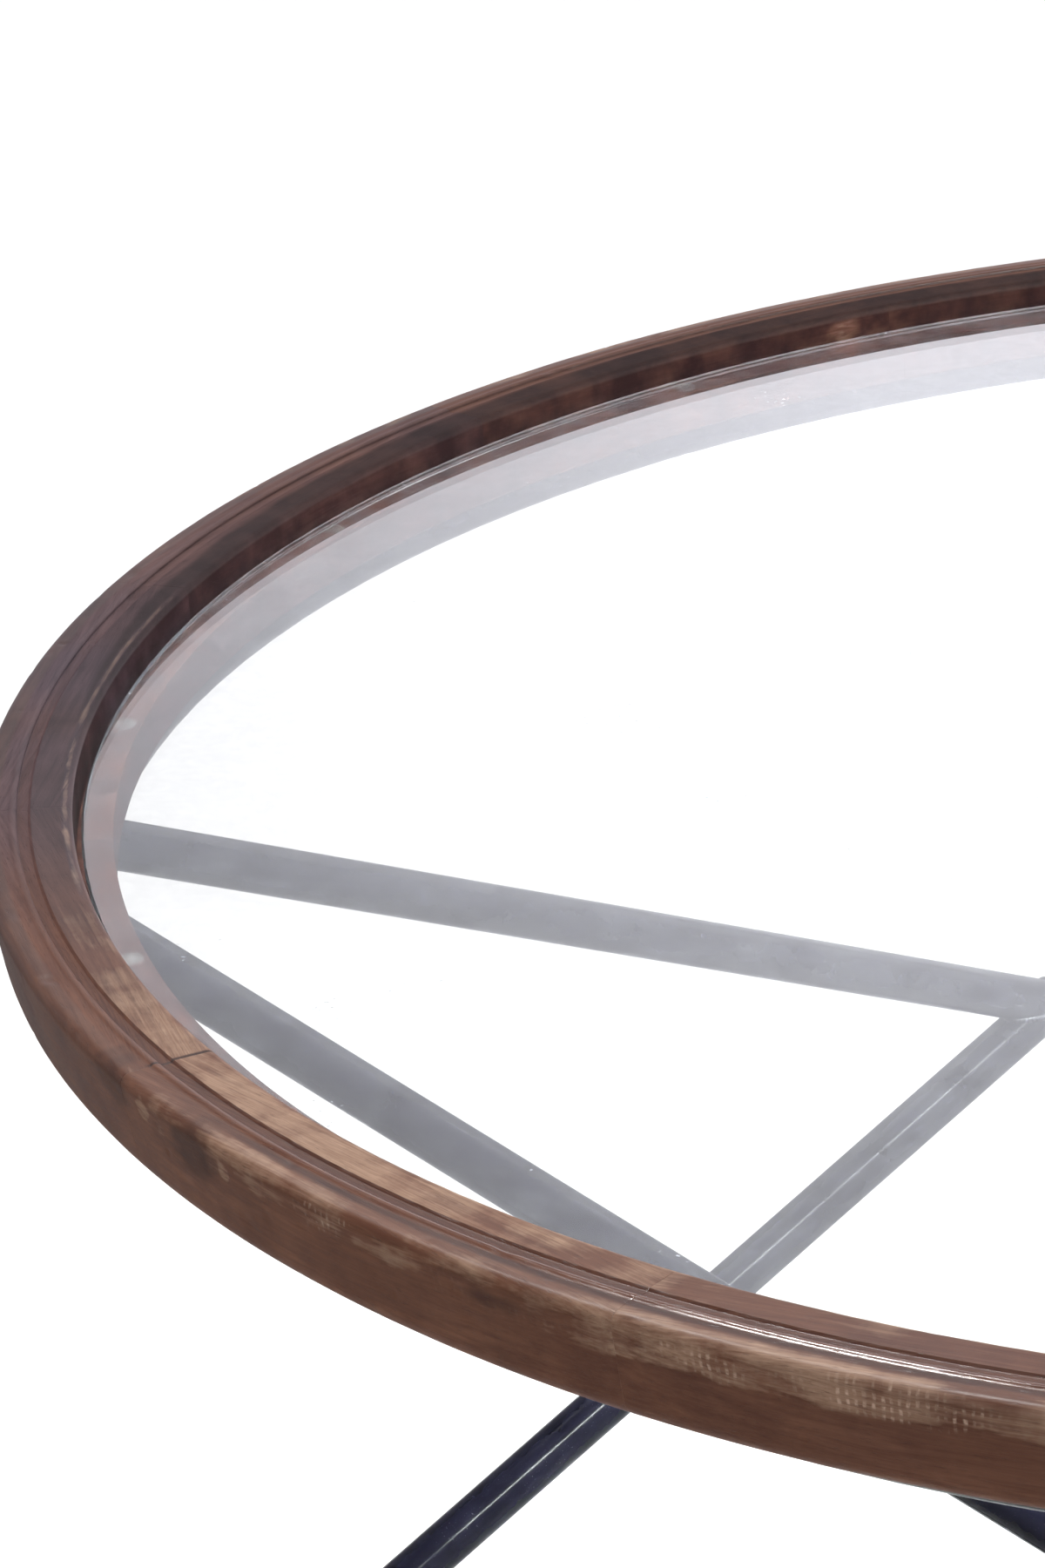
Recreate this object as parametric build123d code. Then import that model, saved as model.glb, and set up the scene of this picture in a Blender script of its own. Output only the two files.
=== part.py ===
from build123d import *
import math
import os

# Round table: a segmented wood rim with a drop-in glass pane, carried by a steel
# tube ring on three welded X-frames. Millimetres, +Z up. The origin is on the
# floor under the centre of the top. One pair of leg tops meets on the +Y side.

os.makedirs("parts", exist_ok=True)

# ---- overall -------------------------------------------------------------
table_h = 425.0          # floor to the highest line of the rim
rim_r = 534.0            # outer radius of the wood rim, 42 in across

# ---- wood rim section ----------------------------------------------------
rim_h = 35.0             # height of the rim section
wall_w = 32.6            # outer face to rabbet wall
ledge_w = 12.8           # ledge that carries the glass
rabbet_d = 18.2          # rabbet depth below the rim top
face_lean = 5.0          # the outer face leans in by this much at the bottom
under_round = 7.0        # rounding of the lower outer edge
top_round = 3.5          # rounding of the upper outer edge
lip_round = 3.0          # rounding of the edge over the glass
foot_round = 1.5         # easing of the lower inner edge
strip_w = 10.9           # flat strip along the outer edge
bead_w = 3.0             # round bead beside the strip
bead_rise = 0.5          # bead crest above the strip
groove_w = 4.7           # groove beside the bead
groove_d = 1.3           # groove depth below the bead crest
groove_slope = 0.9       # run of the groove's inner side
crown_drop = 1.0         # fall of the inner top from groove to lip

# ---- felloes, the pieces of the rim --------------------------------------
felloe_count = 15        # equal felloes, butted end to end
seam_shift = 1.95        # degrees from a leg apex to the nearest seam
glue_gap = 0.10          # glue line between two felloes
dowel_d = 8.0            # dowel across each seam
dowel_len = 40.0         # dowel length
dowel_fit = 0.08         # radial clearance of a dowel in its hole
dowel_end_gap = 0.6      # space past each dowel end

# ---- glass pane and its bumpers ------------------------------------------
glass_t = 6.0            # pane thickness
glass_gap = 2.0          # radial gap between pane and rabbet wall
glass_bevel = 0.8        # ground edge of the pane
bumper_d = 8.0           # clear bumper diameter
bumper_t = 1.2           # clear bumper thickness
bumper_inset = 1.0       # pane edge to bumper edge
bumper_round = 0.4       # rounding of a bumper's top edge

# ---- steel support ring --------------------------------------------------
ring_d = 14.0            # ring tube diameter
ring_wall = 1.5          # ring tube wall
ring_inset = 32.1        # rim outer face to the ring tube's centre line
butt_gap = 0.05          # root gap where the bent ring's ends are welded

# ---- screws, ring to rim -------------------------------------------------
screw_d = 4.0            # screw shank diameter
screw_bite = 11.0        # shank length in the wood
screw_head_d = 7.0       # pan head diameter, inside the ring tube
screw_head_h = 2.4       # pan head height
head_seat_gap = 0.02     # head to the tube's inner wall
access_gap = 0.8         # radial clearance of the head in its access hole
screw_hole_gap = 0.3     # radial clearance in the ring tube
pilot_gap = 0.05         # radial clearance in the wood
pilot_extra = 1.5        # pilot hole depth past the screw tip
drive_d = 2.4            # drive recess across
drive_depth = 1.2        # drive recess depth

# ---- X-frames ------------------------------------------------------------
frame_count = 3          # X-frames, evenly around the table
leg_d = 18.0             # leg tube diameter
leg_wall = 1.6           # leg tube wall
leg_top_up = 3.0         # leg centre line above the ring centre line, at the ring
leg_top_gap = 0.2        # leg top to the underside of the rim
foot_inset = 22.5        # rim outer face to the foot's centre
foot_gap = 38.2          # side to side space of two neighbouring feet
weld_gap = 0.05          # root gap of a coped joint

# ---- foot pads -----------------------------------------------------------
pad_t = 3.0              # pad thickness under the tube
plug_h = 9.0             # plug height inside the tube
plug_fit = 0.15          # radial clearance of the plug

# ---- places that follow from the sizes above -----------------------------
rim_bottom = table_h - rim_h
ledge_z = table_h - rabbet_d
rabbet_r = rim_r - wall_w
ledge_r = rabbet_r - ledge_w
glass_r = rabbet_r - glass_gap
glass_z = ledge_z + bumper_t
bumper_at = glass_r - bumper_inset - bumper_d / 2
ring_r = rim_r - ring_inset
ring_z = rim_bottom - ring_d / 2
ring_under = rim_bottom - ring_d
ring_in_r = ring_d / 2 - ring_wall
head_top = ring_z + math.sqrt(ring_in_r ** 2 - (screw_head_d / 2) ** 2) - head_seat_gap
pitch = 360.0 / felloe_count
apex = 90.0
leg_in_r = leg_d / 2 - leg_wall

foot_at = rim_r - foot_inset
half_pair = math.asin((leg_d + foot_gap) / 2 / foot_at)
frame_off = foot_at * math.cos(math.pi / frame_count - half_pair)
foot_run = math.sqrt(foot_at ** 2 - frame_off ** 2)
top_run = math.sqrt(ring_r ** 2 - frame_off ** 2)


def save(name, shape):
    """Write one node to its own STEP file."""
    export_step(shape, f"parts/{name}.step")


def corner(face, r, z):
    """The corner of a section face that lies at radius r and height z."""
    return face.vertices().sort_by_distance(Vector(r, 0, z))[0]


# ---- wood rim ------------------------------------------------------------
def rim_section():
    """Section of the rim in the XZ plane, x being the radius."""
    strip_z = table_h - bead_rise
    face_low = rim_r - face_lean
    bead_out = rim_r - strip_w
    bead_in = bead_out - bead_w
    groove_in = bead_in - groove_w
    groove_z = table_h - groove_d
    lip_z = table_h - crown_drop
    outline = [
        Line((ledge_r, 0, rim_bottom), (face_low, 0, rim_bottom)),
        Line((face_low, 0, rim_bottom), (rim_r, 0, strip_z)),
        Line((rim_r, 0, strip_z), (bead_out, 0, strip_z)),
        ThreePointArc(
            (bead_out, 0, strip_z),
            ((bead_out + bead_in) / 2, 0, table_h),
            (bead_in, 0, strip_z),
        ),
        Line((bead_in, 0, strip_z), (bead_in, 0, groove_z)),
        Line((bead_in, 0, groove_z), (groove_in + groove_slope, 0, groove_z)),
        Line((groove_in + groove_slope, 0, groove_z), (groove_in, 0, strip_z)),
        Line((groove_in, 0, strip_z), (rabbet_r, 0, lip_z)),
        Line((rabbet_r, 0, lip_z), (rabbet_r, 0, ledge_z)),
        Line((rabbet_r, 0, ledge_z), (ledge_r, 0, ledge_z)),
        Line((ledge_r, 0, ledge_z), (ledge_r, 0, rim_bottom)),
    ]
    face = Face(Wire(outline))
    rounds = [
        (face_low, rim_bottom, under_round),
        (rim_r, strip_z, top_round),
        (rabbet_r, lip_z, lip_round),
        (ledge_r, rim_bottom, foot_round),
    ]
    for r, z, radius in rounds:
        face = face.fillet_2d(radius, [corner(face, r, z)])
    return face


def dowel_rod(radius, length):
    """A rod across the seam plane y = 0, in the middle of the rim's wall."""
    mid = Pos(rim_r - wall_w / 2, 0, table_h - rim_h / 2)
    return mid * Rot(90, 0, 0) * Cylinder(radius, length)


def upright(at_r, z0, z1, radius):
    """A vertical round bar at radius at_r on +X, from z0 up to z1."""
    bar = Cylinder(radius, z1 - z0, align=(Align.CENTER, Align.CENTER, Align.MIN))
    return Pos(at_r, 0, z0) * bar


def felloe():
    """One felloe, starting at azimuth 0."""
    arc = pitch - math.degrees(glue_gap / rim_r)
    body = revolve(rim_section(), Axis.Z, arc)
    hole = dowel_rod(dowel_d / 2 + dowel_fit, dowel_len + 2 * dowel_end_gap)
    body -= hole
    body -= Rot(0, 0, arc) * hole
    pilot_top = rim_bottom + screw_bite + pilot_extra
    pilot = upright(ring_r, rim_bottom - 1, pilot_top, screw_d / 2 + pilot_gap)
    body -= Rot(0, 0, pitch / 2) * pilot
    return body


def seam_at(i):
    """Azimuth of the seam where felloe i starts."""
    return apex + seam_shift + i * pitch


def middle_at(i):
    """Azimuth of the middle of felloe i."""
    return seam_at(i) + pitch / 2


one_felloe = felloe()
for i in range(felloe_count):
    save(f"rim_segment_{i + 1:02d}", Rot(0, 0, seam_at(i)) * one_felloe)

one_dowel = dowel_rod(dowel_d / 2, dowel_len)
one_dowel = chamfer(one_dowel.edges().filter_by(GeomType.CIRCLE), dowel_d / 10)
glue_turn = -math.degrees(glue_gap / rim_r) / 2
dowels = [Rot(0, 0, seam_at(i) + glue_turn) * one_dowel for i in range(felloe_count)]
save("rim_dowels", Compound(children=dowels))

# ---- glass pane on clear bumpers -----------------------------------------
pane = upright(0, glass_z, glass_z + glass_t, glass_r)
pane = chamfer(pane.edges().filter_by(GeomType.CIRCLE), glass_bevel)
save("glass_top", pane)

one_bumper = upright(bumper_at, ledge_z, glass_z, bumper_d / 2)
one_bumper = fillet(one_bumper.faces().sort_by(Axis.Z)[-1].edges(), bumper_round)
bumpers = [Rot(0, 0, middle_at(i)) * one_bumper for i in range(felloe_count)]
save("glass_bumpers", Compound(children=bumpers))

# ---- support ring --------------------------------------------------------
tube_wall = Circle(ring_d / 2) - Circle(ring_d / 2 - ring_wall)
tube_wall = Plane.XZ * (Pos(ring_r, ring_z) * tube_wall)
bent = revolve(tube_wall, Axis.Z, 360 - math.degrees(butt_gap / ring_r))
screw_hole = upright(ring_r, ring_z, rim_bottom + 1, screw_d / 2 + screw_hole_gap)
access_hole = upright(ring_r, ring_under - 1, ring_z, screw_head_d / 2 + access_gap)
turns = [Rot(0, 0, pitch * (i + 0.5)) for i in range(felloe_count)]
ring = bent - [t * hole for t in turns for hole in (screw_hole, access_hole)]
save("support_ring", Rot(0, 0, seam_at(0)) * ring)


# ---- screws up through the ring into the rim -----------------------------
def rim_screw():
    """A pan head screw at azimuth 0, its head inside the tube under the upper wall."""
    tip_z = rim_bottom + screw_bite
    low = head_top - screw_head_h
    shank = upright(ring_r, head_top, tip_z, screw_d / 2)
    shank = chamfer(shank.faces().sort_by(Axis.Z)[-1].edges(), screw_d / 4)
    head = upright(ring_r, low, head_top, screw_head_d / 2)
    head = fillet(head.faces().sort_by(Axis.Z)[0].edges(), screw_head_h / 2)
    drive = Pos(ring_r, 0, low) * Box(drive_d, drive_d, 2 * drive_depth)
    return shank + head - drive


one_screw = rim_screw()
screws = [Rot(0, 0, middle_at(i)) * one_screw for i in range(felloe_count)]
save("rim_screws", Compound(children=screws))


# ---- X-frames ------------------------------------------------------------
def leg_line(side):
    """Top and foot of a leg's centre line, for the frame that faces +X."""
    top = Vector(frame_off, -side * top_run, ring_z + leg_top_up)
    foot = Vector(frame_off, side * foot_run, pad_t)
    return top, foot


def rod_along(side, radius, z0, z1):
    """A rod along a leg's centre line, cut level at z0 and z1."""
    top, foot = leg_line(side)
    way = (foot - top).normalized()
    spare = 6 * leg_d
    start = top - way * spare
    length = (foot - top).length + 2 * spare
    bar = Cylinder(radius, length, align=(Align.CENTER, Align.CENTER, Align.MIN))
    bar = Plane(origin=start, z_dir=way) * bar
    wide = 4 * (rim_r + leg_d)
    slab = Box(wide, wide, z1 - z0, align=(Align.CENTER, Align.CENTER, Align.MIN))
    return bar & (Pos(0, 0, z0) * slab)


def leg_tube(side):
    """A whole leg tube, level at the foot and coped into the inside of the ring."""
    top_z = rim_bottom - leg_top_gap
    tube = rod_along(side, leg_d / 2, pad_t, top_z)
    tube -= rod_along(side, leg_in_r, pad_t - 1, top_z + 1)
    tube -= Pos(0, 0, ring_z) * Torus(ring_r, ring_d / 2 + weld_gap)
    past_ring = upright(0, ring_under - ring_d, rim_bottom + 1, 2 * rim_r)
    past_ring -= upright(0, ring_under - 2 * ring_d, rim_bottom + 2, ring_r)
    pieces = (tube - past_ring).solids()
    return pieces.sort_by(SortBy.VOLUME)[-1]


def foot_pad(side):
    """A pad under a leg's foot, with its plug up inside the tube."""
    top, foot = leg_line(side)
    half_long = leg_d / 2 * (foot - top).length / (top.Z - foot.Z)
    sole = extrude(Ellipse(leg_d / 2, half_long), pad_t)
    plug = rod_along(side, leg_in_r - plug_fit, pad_t - 1, pad_t + plug_h)
    return Pos(foot.X, foot.Y, 0) * sole + plug


through = leg_tube(-1)
crossing = leg_tube(1)
crossing -= rod_along(-1, leg_d / 2 + weld_gap, pad_t - 1, rim_bottom)
halves = crossing.solids().sort_by(Axis.Z)
lower_half = halves[0]
upper_half = halves[-1]

for i in range(frame_count):
    turn = Rot(0, 0, apex + 180 / frame_count + i * 360 / frame_count)
    save(f"leg_through_{i + 1}", turn * through)
    save(f"leg_upper_half_{i + 1}", turn * upper_half)
    save(f"leg_lower_half_{i + 1}", turn * lower_half)
    save(f"foot_pad_{2 * i + 1}", turn * foot_pad(-1))
    save(f"foot_pad_{2 * i + 2}", turn * foot_pad(1))
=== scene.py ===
import bpy
import bmesh
import math
import random
from mathutils import Matrix, Vector, noise


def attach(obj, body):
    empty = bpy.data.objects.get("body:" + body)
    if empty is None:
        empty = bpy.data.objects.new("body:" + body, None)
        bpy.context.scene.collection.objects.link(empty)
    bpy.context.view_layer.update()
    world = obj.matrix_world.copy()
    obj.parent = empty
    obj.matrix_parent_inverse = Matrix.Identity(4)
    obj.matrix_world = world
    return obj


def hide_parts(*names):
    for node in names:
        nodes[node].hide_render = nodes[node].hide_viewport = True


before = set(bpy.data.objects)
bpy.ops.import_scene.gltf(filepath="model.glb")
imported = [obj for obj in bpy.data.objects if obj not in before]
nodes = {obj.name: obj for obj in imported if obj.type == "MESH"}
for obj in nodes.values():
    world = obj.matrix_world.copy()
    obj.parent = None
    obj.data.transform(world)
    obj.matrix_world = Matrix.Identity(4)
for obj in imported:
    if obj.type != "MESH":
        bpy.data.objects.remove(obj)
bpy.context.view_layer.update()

MM = 0.001

# ---- sizes of the table, in millimetres, as in the part's source ----------
# rim section
table_h = 425.0
rim_r = 534.0
rim_h = 35.0
wall_w = 32.6
ledge_w = 12.8
rabbet_d = 18.2
face_lean = 5.0
under_round = 7.0
top_round = 3.5
lip_round = 3.0
foot_round = 1.5
strip_w = 10.9
bead_w = 3.0
bead_rise = 0.5
groove_w = 4.7
groove_d = 1.3
groove_slope = 0.9
crown_drop = 1.0
quirk_w = 3.4

# felloes, their seams and dowels
felloe_count = 15
seam_shift = 1.95        # turn of the first seam past the apex, in degrees
glue_gap = 0.10
glue_line = 0.03
seam_ease = 0.5
seam_cut = 0.03
dowel_d = 8.0
dowel_len = 40.0
dowel_fit = 0.08
dowel_end_gap = 0.6

# support ring, legs and pads
ring_d = 14.0
ring_inset = 32.1
frame_count = 3
leg_d = 18.0
leg_top_up = 3.0
foot_inset = 22.5
foot_gap = 38.2
pad_t = 3.0

rim_bottom = table_h - rim_h
ledge_z = table_h - rabbet_d
rabbet_r = rim_r - wall_w
ledge_r = rabbet_r - ledge_w
ring_r = rim_r - ring_inset
ring_z = rim_bottom - ring_d / 2
pitch = 360.0 / felloe_count
crown_w = wall_w - strip_w - bead_w - groove_w
apex = 90.0              # azimuth of one pair of feet, in degrees
foot_at = rim_r - foot_inset
half_pair = math.asin((leg_d + foot_gap) / 2 / foot_at)
frame_off = foot_at * math.cos(math.pi / frame_count - half_pair)
foot_run = math.sqrt(foot_at ** 2 - frame_off ** 2)
top_run = math.sqrt(ring_r ** 2 - frame_off ** 2)


# ---- small helpers ---------------------------------------------------------
def smooth(lo, hi, x):
    """0 below lo, 1 above hi, and a smooth step between."""
    t = min(1.0, max(0.0, (x - lo) / (hi - lo)))
    return t * t * (3 - 2 * t)


def hump(mid, half, x, soft=0.5):
    """1 within soft * half of mid, falling to 0 at half."""
    return 1 - smooth(soft * half, half, abs(x - mid))


def octaves(p, count=3):
    """Layered noise from about -1 to 1."""
    total, size = 0.0, 1.0
    for _ in range(count):
        total += size * noise.noise(p)
        p = p * 2.03
        size *= 0.5
    return total


def add_mesh(name, verts, faces, material, body="table"):
    """A new smooth piece in the row frame that rides on a body."""
    mesh = bpy.data.meshes.new(name)
    mesh.from_pydata(verts, [], faces)
    mesh.update()
    mesh.polygons.foreach_set("use_smooth", [True] * len(mesh.polygons))
    mesh.materials.append(material)
    piece = bpy.data.objects.new(name, mesh)
    bpy.context.scene.collection.objects.link(piece)
    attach(piece, body)
    return piece


# ---- node materials --------------------------------------------------------
class Maker:
    """Builds one node material."""

    def __init__(self, name):
        self.material = bpy.data.materials.new(name)
        self.material.use_nodes = True
        self.tree = self.material.node_tree
        self.tree.nodes.clear()
        self.out = self.tree.nodes.new("ShaderNodeOutputMaterial")
        self.shader = self.tree.nodes.new("ShaderNodeBsdfPrincipled")
        self.link(self.shader.outputs[0], self.out.inputs["Surface"])

    def link(self, a, b):
        self.tree.links.new(a, b)

    def put(self, socket, value):
        if isinstance(value, bpy.types.NodeSocket):
            self.link(value, socket)
        else:
            socket.default_value = value

    def set(self, **values):
        for key, value in values.items():
            self.put(self.shader.inputs[key.replace("_", " ")], value)

    def node(self, kind, inputs=None, **settings):
        n = self.tree.nodes.new(kind)
        for key, value in settings.items():
            setattr(n, key, value)
        for key, value in (inputs or {}).items():
            self.put(n.inputs[key], value)
        return n

    def place(self, source, scale):
        """Coordinates stretched by scale, from an attribute name or the object."""
        if source == "object":
            base = self.node("ShaderNodeTexCoord").outputs["Object"]
        else:
            base = self.node("ShaderNodeAttribute", attribute_name=source).outputs["Vector"]
        return self.node("ShaderNodeMapping", {"Vector": base, "Scale": scale}).outputs[0]

    def noise(self, where, scale=1.0, detail=3.0, rough=0.55, warp=0.0):
        n = self.node("ShaderNodeTexNoise", {
            "Vector": where, "Scale": scale, "Detail": detail, "Roughness": rough, "Distortion": warp})
        return n.outputs["Fac"]

    def span(self, value, lo, hi, to_lo=0.0, to_hi=1.0):
        n = self.node("ShaderNodeMapRange", {
            "Value": value, "From Min": lo, "From Max": hi, "To Min": to_lo, "To Max": to_hi})
        return n.outputs[0]

    def math(self, op, a, b=0.0):
        n = self.node("ShaderNodeMath", operation=op)
        self.put(n.inputs[0], a)
        self.put(n.inputs[1], b)
        return n.outputs[0]

    def mix(self, fac, a, b, blend="MIX"):
        n = self.node("ShaderNodeMix", data_type="RGBA", blend_type=blend)
        self.put(n.inputs["Factor"], fac)
        self.put(n.inputs["A"], a)
        self.put(n.inputs["B"], b)
        return n.outputs["Result"]

    def parts(self, name):
        """The three numbers of a colour attribute."""
        a = self.node("ShaderNodeAttribute", attribute_name=name)
        s = self.node("ShaderNodeSeparateColor", {"Color": a.outputs["Color"]})
        return s.outputs[0], s.outputs[1], s.outputs[2]

    def bump(self, height, distance, strength=1.0, below=None):
        n = self.node("ShaderNodeBump", {"Height": height, "Distance": distance, "Strength": strength})
        if below is not None:
            self.link(below, n.inputs["Normal"])
        return n.outputs[0]


def rgb(r, g, b):
    """A linear colour from display values 0 to 255."""
    def lin(v):
        v /= 255.0
        return v / 12.92 if v <= 0.04045 else ((v + 0.055) / 1.055) ** 2.4
    return (lin(r), lin(g), lin(b), 1.0)


def wood_material():
    m = Maker("rim_wood")
    wear_and_highlight, dark, kerf = m.parts("wear_and_painted_light")
    mauve, red, gloss = m.parts("tint")
    broad = m.noise(m.place("grain", (70, 9, 70)), detail=3, warp=0.4)
    streak = m.noise(m.place("grain", (420, 22, 420)), detail=4, rough=0.62, warp=0.5)
    fine = m.noise(m.place("grain", (1500, 55, 1500)), detail=4, rough=0.6)
    pores = m.noise(m.place("grain", (2600, 190, 2600)), detail=2, rough=0.5)
    cloud = m.noise(m.place("grain", (45, 45, 45)), detail=4, rough=0.6)
    speck = m.noise(m.place("grain", (900, 700, 900)), detail=2)

    # stained brown ground, blotchy and only softly grained
    ground = m.mix(m.span(streak, 0.30, 0.74), rgb(103, 62, 44), rgb(138, 93, 69))
    ground = m.mix(m.span(broad, 0.38, 0.64, 0.0, 0.5), ground, rgb(112, 71, 51))
    ground = m.mix(m.span(cloud, 0.44, 0.64, 0.0, 0.5), ground, rgb(90, 53, 38))
    ground = m.mix(m.span(fine, 0.44, 0.70, 0.0, 0.16), ground, rgb(148, 104, 82))
    # cold mauve tint
    cold = m.mix(m.span(streak, 0.30, 0.74), rgb(60, 45, 53), rgb(100, 80, 87))
    ground = m.mix(mauve, ground, cold)
    # red-brown finish held in the groove
    warm = m.mix(m.span(fine, 0.4, 0.65), rgb(92, 50, 33), rgb(124, 74, 49))
    ground = m.mix(red, ground, warm)
    # bare wood where the finish is rubbed off, along the grain, and a painted highlight along the lip of the
    # inner top edge
    patchy = m.math("SUBTRACT", streak, 0.5)
    rubbed = m.math("SUBTRACT", m.math("MULTIPLY", wear_and_highlight, 1.5), 0.45)
    bare_at = m.math("ADD", m.math("MULTIPLY", patchy, 1.5), rubbed)
    bare_at = m.math("ADD", bare_at, m.math("MULTIPLY", m.math("SUBTRACT", cloud, 0.5), 2.6))
    bare_at = m.span(bare_at, 0.0, 0.9)
    bare_at = m.math("MULTIPLY", bare_at, m.span(wear_and_highlight, 0.0, 0.25))
    bare = m.mix(m.span(fine, 0.32, 0.72), rgb(164, 127, 102), rgb(204, 168, 142))
    bare = m.mix(m.math("MULTIPLY", mauve, 0.6), bare, rgb(158, 138, 130))
    look = m.mix(m.math("MULTIPLY", bare_at, 0.80), ground, bare)
    # saw marks across the grain
    wave = m.node("ShaderNodeTexWave", {
        "Vector": m.place("grain", (1, 1, 1)), "Scale": 122.0, "Distortion": 3.0, "Detail": 2.0,
        "Detail Scale": 1.2}, wave_type="BANDS", bands_direction="Y")
    rows = m.node("ShaderNodeTexWave", {
        "Vector": m.place("grain", (1, 1, 1)), "Scale": 96.0, "Distortion": 3.6, "Detail": 2.0,
        "Detail Scale": 1.0}, wave_type="BANDS", bands_direction="Z")
    skip = m.noise(m.place("grain", (70, 150, 120)), detail=3, rough=0.65)
    saw = m.math("MULTIPLY", m.span(wave.outputs["Fac"], 0.45, 0.9), kerf)
    saw = m.math("MULTIPLY", saw, m.span(rows.outputs["Fac"], 0.25, 0.60, 0.15, 1.0))
    saw = m.math("MULTIPLY", saw, m.span(skip, 0.42, 0.56))
    saw = m.math("MULTIPLY", saw, m.span(speck, 0.35, 0.6, 0.35, 1.0))
    look = m.mix(m.math("MULTIPLY", saw, 0.85), look, rgb(218, 186, 164))
    # dark marks and a dark glue line, darker far and left sides and underside, and painted shade on the inner
    # wall, on the ledge under it and in the groove and the quirk beside the bead
    dark_at = m.math("MULTIPLY", dark, m.span(cloud, 0.25, 0.6, 0.74, 1.0))
    look = m.mix(m.math("MULTIPLY", dark_at, 0.96), look, rgb(31, 17, 18))
    # open pores
    pore_at = m.span(pores, 0.60, 0.72)
    look = m.mix(m.math("MULTIPLY", pore_at, 0.32), look, rgb(44, 27, 24))

    rough = m.math("ADD", m.span(gloss, 0.0, 1.0, 0.82, 0.18), m.span(streak, 0.3, 0.7, -0.04, 0.06))
    rough = m.math("ADD", rough, m.math("MULTIPLY", bare_at, 0.08))
    height = m.math("SUBTRACT", m.math("MULTIPLY", streak, 0.5), m.math("MULTIPLY", pore_at, 0.6))
    height = m.math("ADD", height, m.math("MULTIPLY", fine, 0.35))
    height = m.math("SUBTRACT", height, m.math("MULTIPLY", saw, 0.5))
    calm = m.math("SUBTRACT", 1.0, m.math("MULTIPLY", gloss, 0.75))
    height = m.math("MULTIPLY", height, calm)
    m.set(Base_Color=look, Roughness=rough, Specular_IOR_Level=m.span(gloss, 0.0, 1.0, 0.02, 0.32),
          Normal=m.bump(height, 0.00022, 0.7))
    return m.material


def steel_material():
    m = Maker("black_steel")
    where = m.place("object", (1, 1, 1))
    peel = m.noise(where, 900, 2)
    cloud = m.noise(where, 60, 4, 0.65)
    speck = m.noise(where, 1500, 1)
    dust = m.math("MULTIPLY", m.span(speck, 0.70, 0.76), m.span(cloud, 0.45, 0.7))
    colour = m.mix(m.span(cloud, 0.35, 0.7), rgb(9, 9, 17), rgb(18, 18, 29))
    colour = m.mix(m.math("MULTIPLY", dust, 0.5), colour, rgb(120, 120, 128))
    rough = m.math("ADD", m.span(cloud, 0.3, 0.7, 0.07, 0.12), m.math("MULTIPLY", dust, 0.3))
    m.set(Base_Color=colour, Roughness=rough, Specular_IOR_Level=0.14, Normal=m.bump(peel, 0.000012, 0.5))
    return m.material


def weld_material():
    m = Maker("black_weld")
    where = m.place("object", (1, 1, 1))
    cloud = m.noise(where, 350, 4, 0.6)
    colour = m.mix(m.span(cloud, 0.35, 0.65), rgb(18, 18, 26), rgb(46, 46, 58))
    m.set(Base_Color=colour, Roughness=m.span(cloud, 0.3, 0.7, 0.28, 0.45), Specular_IOR_Level=0.4,
          Normal=m.bump(cloud, 0.0002, 0.5))
    return m.material


# wiping streaks on the pane's top: distance from the frame's origin at which they begin, in metres,
# and the azimuths over which they come up, in radians
edge_dust_r = 0.642
streak_from, streak_full = 1.9, 2.2


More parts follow.
